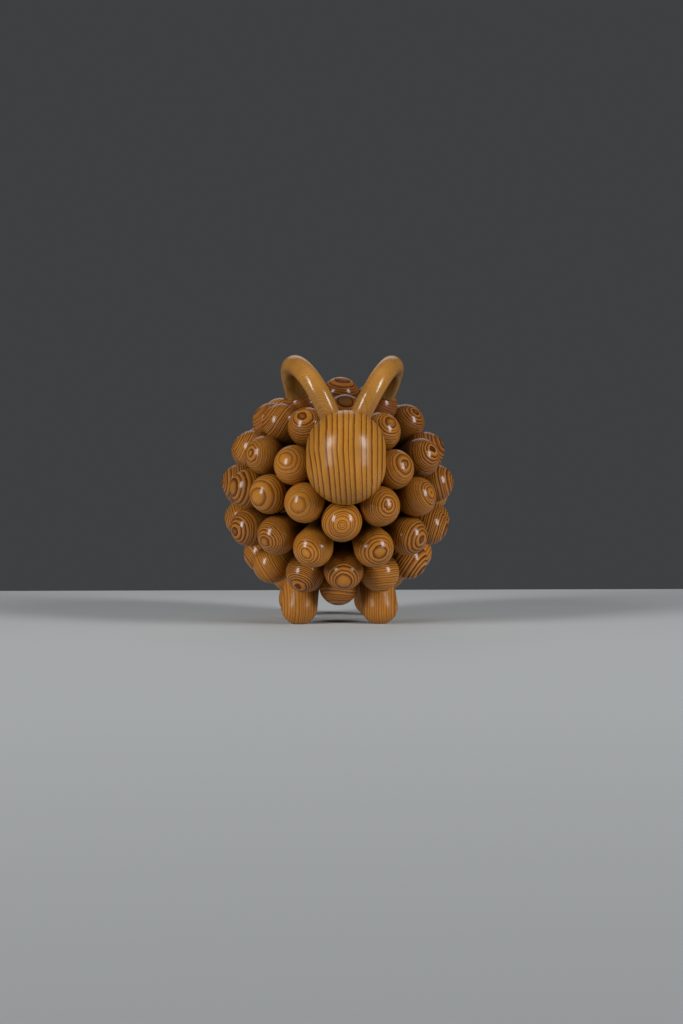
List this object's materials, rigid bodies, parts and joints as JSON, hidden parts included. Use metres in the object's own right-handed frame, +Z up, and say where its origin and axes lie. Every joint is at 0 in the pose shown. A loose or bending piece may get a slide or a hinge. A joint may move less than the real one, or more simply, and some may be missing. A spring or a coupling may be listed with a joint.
{
  "type": "sheep figurine",
  "caption": "Free-standing wooden ram ornament: round-ended turned knobs form the fleece round a hidden core, with a barrel-shaped head, curved horns and stub legs.",
  "frame": {"origin": "on the surface it stands on, under the middle of its outline", "axes": "+Z up, the ram looks along -Y, +X is its left side"},
  "size_m": [0.1456, 0.2212, 0.1622],
  "materials": {
    "knob_wood": "turned pine, end grain outwards, satin clear lacquer",
    "head_wood": "turned pine with upright grain, satin clear lacquer",
    "horn_wood": "pale fine-grained wood, satin clear lacquer",
    "leg_wood": "turned pine with upright grain, satin clear lacquer",
    "core_wood": "plain pine, unfinished where it is hidden",
    "dowel_wood": "plain hardwood dowel"
  },
  "bodies": {
    "root": {"core": "core_wood", "head": "head_wood", "horn_left": "horn_wood", "horn_pin_left": "dowel_wood", "horn_pin_right": "dowel_wood", "horn_right": "horn_wood", "knob_ring_1_01": "knob_wood", "knob_ring_1_02": "knob_wood", "knob_ring_1_03": "knob_wood", "knob_ring_1_04": "knob_wood", "knob_ring_1_05": "knob_wood", "knob_ring_1_06": "knob_wood", "knob_ring_1_07": "knob_wood", "knob_ring_1_08": "knob_wood", "knob_ring_2_01": "knob_wood", "knob_ring_2_02": "knob_wood", "knob_ring_2_03": "knob_wood", "knob_ring_2_04": "knob_wood", "knob_ring_2_05": "knob_wood", "knob_ring_2_06": "knob_wood", "knob_ring_2_07": "knob_wood", "knob_ring_2_08": "knob_wood", "knob_ring_2_09": "knob_wood", "knob_ring_2_10": "knob_wood", "knob_ring_2_11": "knob_wood", "knob_ring_2_12": "knob_wood", "knob_ring_2_13": "knob_wood", "knob_ring_3_01": "knob_wood", "knob_ring_3_02": "knob_wood", "knob_ring_3_03": "knob_wood", "knob_ring_3_04": "knob_wood", "knob_ring_3_05": "knob_wood", "knob_ring_3_06": "knob_wood", "knob_ring_3_07": "knob_wood", "knob_ring_3_08": "knob_wood", "knob_ring_3_09": "knob_wood", "knob_ring_3_10": "knob_wood", "knob_ring_3_11": "knob_wood", "knob_ring_4_01": "knob_wood", "knob_ring_4_02": "knob_wood", "knob_ring_4_03": "knob_wood", "knob_ring_4_04": "knob_wood", "knob_ring_4_05": "knob_wood", "knob_ring_4_06": "knob_wood", "knob_ring_4_07": "knob_wood", "knob_ring_4_08": "knob_wood", "knob_ring_4_09": "knob_wood", "knobs_back_1": "knob_wood", "knobs_back_2": "knob_wood", "knobs_back_3": "knob_wood", "knobs_back_4": "knob_wood", "knobs_back_5": "knob_wood", "leg_front_left": "leg_wood", "leg_front_right": "leg_wood", "leg_rear_left": "leg_wood", "leg_rear_right": "leg_wood", "neck_dowel": "dowel_wood"}
  },
  "joints": []
}
